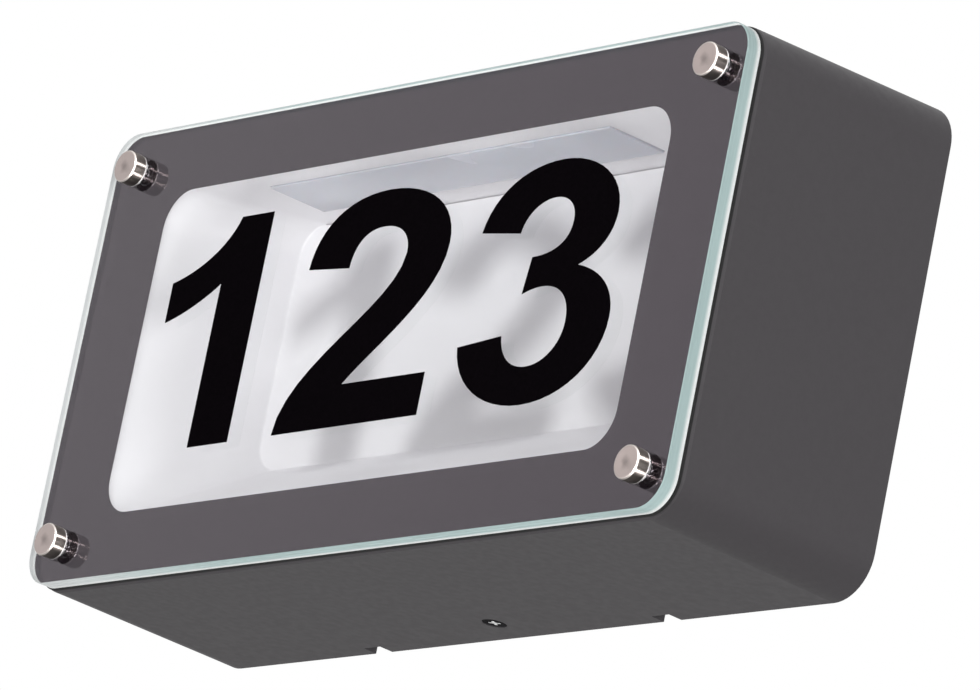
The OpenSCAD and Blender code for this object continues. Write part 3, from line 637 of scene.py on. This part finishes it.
class WALLLIGHT_OT_glass_panel(Operator):
    """Build the drilled glass panel with its ground edge"""
    bl_idname = "walllight.glass_panel"
    bl_label = "Glass panel"

    def execute(self, context):
        settings = context.scene.wl_glass
        low, high = (Vector(corner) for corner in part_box("glass_panel"))
        # The pane stays a hair inside its solid, so that film and print don't share its faces
        front, back = low.y + 0.01 * MM, high.y - 0.02 * MM
        width, height = high.x - low.x, high.z - low.z
        radius, arris = 10 * MM, settings.arris
        hole_r, hole_arris = 3.0 * MM, 0.3 * MM
        corner_steps, hole_steps = 20, 40
        cap = Vector(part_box("cap_top_right")[0]) / 2 + Vector(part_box("cap_top_right")[1]) / 2

        def ring(sx, sz, r):
            return [(sx * cap.x + r * math.cos(2 * math.pi * i / hole_steps),
                     sz * cap.z + r * math.sin(2 * math.pi * i / hole_steps))
                    for i in range(hole_steps)]

        bm = bmesh.new()
        outer = rounded(width, height, radius, corner_steps)
        inner = rounded(width - 2 * arris, height - 2 * arris, radius - arris, corner_steps)
        rims = [loop(bm, inner, front), loop(bm, outer, front + arris),
                loop(bm, outer, back - arris), loop(bm, inner, back)]
        for a, b in zip(rims, rims[1:]):
            bridge(bm, a, b, 1)
        ends = [[rims[0]], [rims[-1]]]
        for sx in (-1, 1):
            for sz in (-1, 1):
                wide, bore = ring(sx, sz, hole_r + hole_arris), ring(sx, sz, hole_r)
                holes = [loop(bm, wide, front), loop(bm, bore, front + hole_arris),
                         loop(bm, bore, back - hole_arris), loop(bm, wide, back)]
                for a, b in zip(holes, holes[1:]):
                    bridge(bm, a, b)
                ends[0].append(holes[0])
                ends[1].append(holes[-1])
        bm.edges.index_update()
        for loops in ends:
            edges = []
            for row in loops:
                for i, vert in enumerate(row):
                    edges.append(bm.edges.get((vert, row[(i + 1) % len(row)])))
            bmesh.ops.triangle_fill(bm, edges=edges, use_beauty=True)
        pane = from_bmesh("glass_pane", bm, (float_glass(), ground_edge(settings, front, back)), 30)
        place(pane, "front", "float_glass", "glass_panel")
        return {"FINISHED"}


class WALLLIGHT_OT_print_and_digits(Operator):
    """Finish the printed border and the three digits"""
    bl_idname = "walllight.print_and_digits"
    bl_label = "Print and digits"

    def execute(self, context):
        settings = context.scene.wl_glass
        paint_nodes(printed_enamel(settings), "print_border")
        paint_nodes(digit_film(settings), "digit_one", "digit_two", "digit_three")
        return {"FINISHED"}


class WALLLIGHT_OT_cap_nuts(Operator):
    """Turn the four cap nuts"""
    bl_idname = "walllight.cap_nuts"
    bl_label = "Cap nuts"

    def execute(self, context):
        settings = context.scene.wl_caps
        finishes = (turned_side(settings), faced_end(settings))
        bore_r, bore_depth, foot, dish = 2.05 * MM, 3.3 * MM, 0.25 * MM, 0.15 * MM
        end_start = 6  # point of the profile from which the end's finish is used
        for node, body in (("cap_top_left", "cap_tl"), ("cap_top_right", "cap_tr"),
                           ("cap_bottom_left", "cap_bl"), ("cap_bottom_right", "cap_br")):
            low, high = (Vector(corner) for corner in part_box(node))
            middle, r, h = (low + high) / 2, (high.x - low.x) / 2, high.y - low.y
            bm = bmesh.new()
            turn(bm, [
                # Threaded bore
                (0, -bore_depth), (bore_r, -bore_depth), (bore_r, 0),
                # Rounded foot
                (r - foot, 0), (r - 0.06 * MM, -0.06 * MM), (r, -foot),
                # Rounded rim
                (r, -h + 0.5 * MM), (r - 0.07 * MM, -h + 0.25 * MM),
                (r - 0.2 * MM, -h + 0.08 * MM), (r - 0.42 * MM, -h),
                # Faced end, dished towards the axis
                (r - 0.85 * MM, -h), (r * 0.72, -h + 0.05 * MM), (r * 0.45, -h + 0.1 * MM),
                (r * 0.2, -h + 0.14 * MM), (0, -h + dish),
            ], settings.steps, (0, 0, 0), split=end_start)
            nut = from_bmesh(node + "_turned", bm, finishes, 32)
            nut.location = (middle.x, high.y, middle.z)
            bpy.context.view_layer.update()
            place(nut, body, "stainless_steel", node)
        return {"FINISHED"}


class WALLLIGHT_OT_lock_screw(Operator):
    """Build the countersunk lock screw with its cross recess"""
    bl_idname = "walllight.lock_screw"
    bl_label = "Lock screw"

    def execute(self, context):
        low, high = (Vector(corner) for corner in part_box("lock_screw"))
        middle, r = (low + high) / 2, (high.x - low.x) / 2
        core, groove, pitch = 2.0 * MM, 0.3 * MM, 0.7 * MM
        tip, tip_chamfer = 1.4 * MM, 0.6 * MM
        # Length and width of a recess wedge, outside and at its floor
        wedge_length, wedge_width = (4.6 * MM, 2.2 * MM), (1.1 * MM, 0.7 * MM)
        top, foot = low.z, high.z
        bm = bmesh.new()
        profile = [(0, top), (r - 0.3 * MM, top), (r - 0.08 * MM, top + 0.06 * MM),
                   (r, top + 0.2 * MM), (core, top + r - core)]
        # The thread is drawn as rings with the pitch of an M4 screw
        z = top + r - core + groove
        while z < foot - tip:
            profile += [(core, z), (core - groove, z + groove), (core, z + 2 * groove)]
            z += pitch
        profile += [(core, foot - tip_chamfer), (core - tip_chamfer, foot), (0, foot)]
        turn(bm, profile, 64, (middle.x, middle.y, 0), axis="Z")
        screw = from_bmesh("lock_screw_turned", bm, (
            black_oxide(), mottled_metal("bare_steel_recess", "#e8e8ea", "#ffffff", 0.9 * MM)), 35)
        # The recess is cut one wedge after the other, because crossing wedges in one cutter
        # leave an empty mesh. Their floors differ a little, so that they share no face.
        for turned, floor in ((30, 1.7 * MM), (120, 1.65 * MM)):
            bm = bmesh.new()
            wedge = bmesh.ops.create_cube(bm, size=1.0)["verts"]
            for v in wedge:
                deep = v.co.z > 0
                v.co.x *= wedge_length[deep]
                v.co.y *= wedge_width[deep]
                v.co.z = top + (floor if deep else -1.0 * MM)
            bmesh.ops.rotate(bm, verts=wedge, matrix=Matrix.Rotation(math.radians(turned), 3, "Z"))
            bmesh.ops.translate(bm, verts=wedge, vec=(middle.x, middle.y, 0))
            for face in bm.faces:
                face.material_index = 1
            cut(screw, from_bmesh("recess", bm, (), 30))
        place(screw, "lock", "stainless_steel", "lock_screw")
        return {"FINISHED"}


class WALLLIGHT_OT_light_box(Operator):
    """Mould the white light box with its filleted back wall"""
    bl_idname = "walllight.light_box"
    bl_label = "Light box"

    def execute(self, context):
        settings = context.scene.wl_box
        low, high = (Vector(corner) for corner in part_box("light_box"))
        lip, sheet, fillet, chamfer = 2.7 * MM, 1.5 * MM, settings.fillet, 1.0 * MM
        flange_height, flange_radius = 120 * MM, 17.4 * MM
        corner_steps, fillet_steps = 16, 5
        mouth_y = low.y
        flange_face = mouth_y + lip
        back_y = high.y - sheet
        # Inside of the back wall and of the mouth: width, height, corner radius, middle's height
        back = (195 * MM, 78.4 * MM, 10 * MM, 12.3 * MM)
        mouth = (232.4 * MM, 103 * MM, 11.9 * MM, 0.0)

        def form(share, grow):
            w, h, r, m = (a + (b - a) * share for a, b in zip(back, mouth))
            return rounded(w + 2 * grow, h + 2 * grow, r + grow, corner_steps, m)

        deep = back_y - mouth_y
        bm = bmesh.new()
        rows = []
        # Fillet from the back wall into the sides, seen from inside
        for i in range(fillet_steps + 1):
            a = math.radians(90 * i / fillet_steps)
            inset = fillet * (1 - math.sin(a))
            rise = fillet * (1 - math.cos(a))
            rows.append(loop(bm, form(rise / deep, -inset), back_y - rise))
        rows.append(loop(bm, form(1.0, 0.0), mouth_y))
        rows.append(loop(bm, form(1.0, sheet), mouth_y))
        rows.append(loop(bm, form(1 - (flange_face - mouth_y) / deep, sheet), flange_face))
        rim = rounded(high.x - low.x, flange_height, flange_radius, corner_steps)
        rows.append(loop(bm, rim, flange_face))
        rows.append(loop(bm, rim, flange_face + sheet))
        rows.append(loop(
            bm, form(1 - (flange_face + sheet - mouth_y) / deep, sheet), flange_face + sheet))
        rows.append(loop(bm, form(0.0, sheet), back_y))
        rows.append(loop(bm, form(0.0, sheet - chamfer), back_y + sheet))
        for a, b in zip(rows, rows[1:]):
            bridge(bm, a, b)
        bm.faces.new(rows[0])
        bm.faces.new(rows[-1])
        box = from_bmesh("light_box_moulded", bm, (reflector_white(settings),), 25)
        cover_low, cover_high = (Vector(corner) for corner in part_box("opal_cover"))
        lamp_y = (cover_low.y + cover_high.y) / 2
        ceiling, roof = 51.5 * MM, 53 * MM
        slot_length, slot_width, slot_height = 155.6 * MM, 21.7 * MM, 5 * MM
        seam_length, seam_depth, seam_height = 175 * MM, 2.4 * MM, 0.44 * MM
        head_r, hole_r = 2.6 * MM, 1.45 * MM
        pillar_x, pillar_r, pillar_height, bore_r = 84.8 * MM, 3.6 * MM, 4 * MM, 1.35 * MM
        bm = bmesh.new()
        # Lamp opening, with a thin gap round the cover that stands in it
        slot = bmesh.ops.create_cube(bm, size=1.0)["verts"]
        for v in slot:
            v.co.x *= slot_length
            v.co.y = lamp_y + v.co.y * slot_width
            v.co.z = ceiling + v.co.z * slot_height
        # Seam of the mould, a fine groove in the back wall along the ceiling
        seam = bmesh.ops.create_cube(bm, size=1.0)["verts"]
        for v in seam:
            v.co.x *= seam_length
            v.co.y = back_y + v.co.y * seam_depth
            v.co.z = ceiling - seam_height / 2 + v.co.z * seam_height
        # Holes for the four screws that hold the flange
        screw_high = Vector(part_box("box_screws")[1])
        hole = [(0, flange_face - 1 * MM), (hole_r, flange_face - 1 * MM),
                (hole_r, flange_face + 3 * MM), (0, flange_face + 3 * MM)]
        for sx in (-1, 1):
            for sz in (-1, 1):
                x, z = sx * (screw_high.x - head_r), sz * (screw_high.z - head_r)
                turn(bm, hole, 24, (x, 0, z))
        cut(box, from_bmesh("openings", bm, (), 30))
        # Pillars that the lamp tray is screwed to; their feet reach into the roof
        bm = bmesh.new()
        bm.from_mesh(box.data)
        for sx in (-1, 1):
            turn(bm, [(0, roof - 0.5 * MM), (pillar_r, roof - 0.5 * MM),
                      (pillar_r, roof + pillar_height), (bore_r, roof + pillar_height),
                      (bore_r, roof + 0.4 * MM), (0, roof + 0.4 * MM)],
                 32, (sx * pillar_x, lamp_y, 0), axis="Z")
        bm.to_mesh(box.data)
        bm.free()
        box.data.shade_smooth()
        box.data.set_sharp_from_angle(angle=math.radians(25))
        place(box, "cover", "reflector_white", "light_box")
        return {"FINISHED"}


class WALLLIGHT_OT_lamp(Operator):
    """Build the opal cover and finish the tray, the board and its diodes"""
    bl_idname = "walllight.lamp"
    bl_label = "Lamp"

    def execute(self, context):
        settings = context.scene.wl_box
        low, high = (Vector(corner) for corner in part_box("opal_cover"))
        lip, lip_t, overlap, edge = 1.5 * MM, 1.0 * MM, 0.05 * MM, 0.3 * MM
        bm = bmesh.new()
        for grow, bottom, top in ((-lip, low.z, high.z - lip_t + overlap),
                                  (0.0, high.z - lip_t, high.z)):
            block = bmesh.ops.create_cube(bm, size=1.0)["verts"]
            for v in block:
                v.co.x *= high.x - low.x + 2 * grow
                v.co.y = (low.y + high.y) / 2 + v.co.y * (high.y - low.y + 2 * grow)
                v.co.z = bottom if v.co.z < 0 else top
        bmesh.ops.bevel(bm, geom=list(bm.edges), offset=edge, segments=3, profile=0.5,
                        affect="EDGES", clamp_overlap=True)
        cover = from_bmesh("opal_cover_rounded", bm, (opal_acrylic(settings),), 40)
        place(cover, "cover", "opal_acrylic", "opal_cover")
        paint_nodes(mottled_metal("folded_aluminium_tray", "#a9abae", "#c4c6c9", 6 * MM),
                    "lamp_tray")
        # Solder resist: a smooth white lacquer over a woven board
        paint_nodes(moulded("white_solder_resist", "#e9e9e4", "#f7f7f3", 1.2 * MM, 0.25, 0.4,
                            0.01 * MM), "led_board")
        paint_nodes(phosphor(), "led_chips")
        return {"FINISHED"}


class WALLLIGHT_OT_wall_plate(Operator):
    """Finish the wall plate, its seal and the cable grommet"""
    bl_idname = "walllight.wall_plate"
    bl_label = "Wall plate"

    def execute(self, context):
        paint_nodes(mottled_metal("zinc_plated_wall_plate", "#9b9ea1", "#adb0b3", 5 * MM),
                    "wall_plate")
        # Moulded rubber: matt black with a fine, dusty grain
        paint_nodes(moulded("moulded_rubber_seal", "#18181a", "#2a2a2c", 0.8 * MM, 0.6, 0.85,
                            0.03 * MM), "rim_seal", "cable_grommet")
        return {"FINISHED"}


class WALLLIGHT_OT_wiring(Operator):
    """Finish the terminals, the earth point and the driver"""
    bl_idname = "walllight.wiring"
    bl_label = "Wiring parts"

    def execute(self, context):
        # Moulded polyamide: off-white with a spark-eroded texture
        paint_nodes(moulded("moulded_polyamide_white", "#dedcd6", "#eeece7", 0.9 * MM, 0.4, 0.6,
                            0.03 * MM), "terminal_block", "driver_case", "driver_lid")
        paint_nodes(brass(), "terminal_screws", "earth_tag", "earth_screw")
        return {"FINISHED"}


class WALLLIGHT_OT_fasteners(Operator):
    """Finish the studs, sleeves, washers, small screws, nut and gasket"""
    bl_idname = "walllight.fasteners"
    bl_label = "Small fasteners"

    def execute(self, context):
        zinc = mottled_metal("zinc_plated_screws", "#9a9da2", "#cfd1d4", 0.8 * MM)
        paint_nodes(zinc, "terminal_fixing", "driver_screws", "box_screws", "lamp_screws",
                    "lock_nut", "studs")
        # Stamped stainless steel: a bright thin edge under each cap nut
        paint_nodes(mottled_metal("stamped_stainless_washer", "#dfddda", "#f6f5f3", 1.5 * MM),
                    "cap_washers")
        # Moulded nylon: black and half matt
        paint_nodes(moulded("moulded_nylon_black", "#141415", "#232325", 0.7 * MM, 0.4, 0.6,
                            0.02 * MM), "glass_sleeves")
        # Closed-cell foam: black and dull, with pores. A thin black bead of it stands out round
        # the glass: partly the pressed foam, partly a dark piece put where the gap lies in shade.
        foam = moulded("closed_cell_foam", "#050505", "#0e0e0f", 0.6 * MM, 0.8, 0.95, 0.08 * MM)
        low, high = (Vector(corner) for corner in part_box("glass_gasket"))
        pane_high = Vector(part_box("glass_panel")[1])
        bead, band, corner_r, least_r = 0.4 * MM, 6.5 * MM, 9.6 * MM, 3 * MM
        taper, shoulder = 0.15 * MM, 0.2 * MM
        # The bead stands out past the pane's edge as painted shade in the gap
        shade_bead_grow = pane_high.x + bead - high.x
        wide, tall = high.x - low.x, high.z - low.z
        bm = bmesh.new()
        rows = []
        for grow, y in ((shade_bead_grow - taper, low.y), (shade_bead_grow, low.y + shoulder),
                        (shade_bead_grow, high.y - shoulder), (shade_bead_grow - taper, high.y),
                        (-band, high.y), (-band, low.y)):
            radius = max(corner_r + grow, least_r)
            rows.append(loop(bm, rounded(wide + 2 * grow, tall + 2 * grow, radius, 16), y))
        for a, b in zip(rows, rows[1:] + rows[:1]):
            bridge(bm, a, b)
        gasket = from_bmesh("glass_gasket_pressed", bm, (foam,), 30)
        place(gasket, "cover", "foam_black", "glass_gasket")
        return {"FINISHED"}


# -------------------- stage

class WALLLIGHT_OT_stage(Operator):
    """Set up the camera, the lamps, the pale floor and the white surround"""
    bl_idname = "walllight.stage"
    bl_label = "Stage"

    def execute(self, context):
        settings = context.scene.wl_studio
        scene = context.scene
        scene.view_settings.view_transform = "Standard"

        lens = bpy.data.cameras.new("camera")
        lens.lens = settings.focal_length
        lens.sensor_width = 36.0
        lens.clip_end = 50.0
        camera = bpy.data.objects.new("camera", lens)
        # Axes and place of the camera, fitted to the photograph's straight edges
        right = Vector((0.6411984, 0.7437245, 0.1890461))
        up = Vector((0.0971132, -0.3230178, 0.9413971))
        back = right.cross(up)
        camera.matrix_world = Matrix.Translation((1.9017900, -1.4966977, -0.6931885)) @ Matrix(
            (right, up, back)).transposed().to_4x4()
        scene.collection.objects.link(camera)
        scene.camera = camera

        # Two narrow lamps draw the bright lines along the turned nuts, and reach only the
        # nuts and their washers
        nuts = bpy.data.collections.new("turned_nuts")
        for piece in bpy.data.objects:
            if piece.name.endswith("_turned") and piece.name.startswith("cap"):
                nuts.objects.link(piece)
        nuts.objects.link(frame["nodes"]["cap_washers"])
        for name, spot, aim, size, power in (
                ("key_lamp", (-0.43, -2.05, -0.24), (0.0, -0.05, 0.0), 0.55, settings.key_power),
                ("fill_lamp", (2.42, -0.98, -0.25), (0.0, -0.05, 0.0), 1.6, settings.fill_power),
                ("low_lamp", (0.75, -0.75, -1.1), (0.0, -0.05, 0.0), 0.5, settings.low_power),
                ("nut_lamp_high", (1.25, -0.36, 0.84), (0.0, -0.08, 0.0), 0.3, settings.nut_power),
                ("nut_lamp_low", (1.15, -0.36, -0.96), (0.0, -0.08, 0.0), 0.3, settings.nut_power)):
            lamp = bpy.data.lights.new(name, "AREA")
            lamp.shape = "DISK"
            lamp.size = size
            lamp.energy = power
            holder = bpy.data.objects.new(name, lamp)
            holder.location = spot
            way = Vector(aim) - Vector(spot)
            holder.rotation_euler = way.to_track_quat("-Z", "Y").to_euler()
            scene.collection.objects.link(holder)
            if name.startswith("nut_lamp"):
                holder.light_linking.receiver_collection = nuts

        # Even light from above, as soft as that of a white ceiling
        downward = Vector((-0.2, 0.9, -2.3))
        overhead = bpy.data.lights.new("overhead_light", "SUN")
        overhead.energy = settings.top_strength
        overhead.angle = math.radians(90)
        holder = bpy.data.objects.new("overhead_light", overhead)
        holder.rotation_euler = downward.to_track_quat("-Z", "Y").to_euler()
        scene.collection.objects.link(holder)

        # Plain pale floor, well below the light, as under a lamp on a wall
        floor_radius, floor_z = 7.0, -1.9
        bm = bmesh.new()
        bmesh.ops.create_circle(bm, cap_ends=True, segments=96, radius=floor_radius)
        bmesh.ops.translate(bm, verts=bm.verts, vec=(0, 0, floor_z))
        made, t = new_material("pale_floor")
        where = add(t, "ShaderNodeTexCoord").outputs["Object"]
        cloud = add(t, "ShaderNodeTexNoise", {"Vector": where, "Scale": 3.0, "Detail": 2.0})
        pale = add(t, "ShaderNodeMix", {
            "Factor": cloud.outputs["Fac"],
            "A": linear("#f1f1f0"), "B": linear("#f6f6f5")}, data_type="RGBA")
        skin = add(t, "ShaderNodeBsdfPrincipled", {
            "Base Color": pale.outputs["Result"], "Roughness": 0.8, "Specular IOR Level": 0.1})
        surface(t, skin.outputs["BSDF"])
        floor = from_bmesh("floor", bm, (made,), 30)

        world = bpy.data.worlds.new("white_surround")
        world.use_nodes = True
        t = world.node_tree
        t.nodes.clear()
        path = add(t, "ShaderNodeLightPath")
        seen = add(t, "ShaderNodeMath", {
            0: path.outputs["Is Camera Ray"],
            1: path.outputs["Is Glossy Ray"]}, operation="MAXIMUM")
        shown = add(t, "ShaderNodeMath", {
            0: seen.outputs["Value"], 1: path.outputs["Is Transmission Ray"]}, operation="MAXIMUM")
        level = add(t, "ShaderNodeMapRange", {
            "Value": shown.outputs["Value"], "To Min": settings.sky, "To Max": 1.0})
        sky = add(t, "ShaderNodeBackground", {
            "Color": (1.0, 1.0, 1.0, 1.0), "Strength": level.outputs["Result"]})
        add(t, "ShaderNodeOutputWorld", {"Surface": sky.outputs["Background"]})
        scene.world = world
        return {"FINISHED"}


# -------------------- panel

PIECES = (
    WALLLIGHT_OT_housing, WALLLIGHT_OT_glass_panel, WALLLIGHT_OT_print_and_digits,
    WALLLIGHT_OT_cap_nuts, WALLLIGHT_OT_lock_screw, WALLLIGHT_OT_light_box, WALLLIGHT_OT_lamp,
    WALLLIGHT_OT_wall_plate, WALLLIGHT_OT_wiring, WALLLIGHT_OT_fasteners, WALLLIGHT_OT_stage,
)
SETTINGS = (
    ("wl_glass", GlassFrontSettings, "Glass front"),
    ("wl_housing", HousingSettings, "Housing"),
    ("wl_caps", CapNutSettings, "Cap nuts"),
    ("wl_box", LightBoxSettings, "Light box"),
    ("wl_studio", StudioSettings, "Studio"),
)


class WALLLIGHT_PT_panel(Panel):
    bl_idname = "WALLLIGHT_PT_panel"
    bl_label = "Wall light"
    bl_space_type = "VIEW_3D"
    bl_region_type = "UI"
    bl_category = "Wall light"

    def draw(self, context):
        for name, group, title in SETTINGS:
            part = self.layout.box()
            part.label(text=title)
            for key in group.__annotations__:
                part.prop(getattr(context.scene, name), key)
        for piece in PIECES:
            self.layout.operator(piece.bl_idname)


def register():
    for name, group, _ in SETTINGS:
        bpy.utils.register_class(group)
        setattr(bpy.types.Scene, name, PointerProperty(type=group))
    for item in (*PIECES, WALLLIGHT_PT_panel):
        bpy.utils.register_class(item)


def unregister():
    for item in reversed((*PIECES, WALLLIGHT_PT_panel)):
        bpy.utils.unregister_class(item)
    for name, group, _ in reversed(SETTINGS):
        delattr(bpy.types.Scene, name)
        bpy.utils.unregister_class(group)


def main():
    register()
    bpy.ops.walllight.housing()
    bpy.ops.walllight.glass_panel()
    bpy.ops.walllight.print_and_digits()
    bpy.ops.walllight.cap_nuts()
    bpy.ops.walllight.lock_screw()
    bpy.ops.walllight.light_box()
    bpy.ops.walllight.lamp()
    bpy.ops.walllight.wall_plate()
    bpy.ops.walllight.wiring()
    bpy.ops.walllight.fasteners()
    bpy.ops.walllight.stage()


if __name__ == "__main__":
    main()
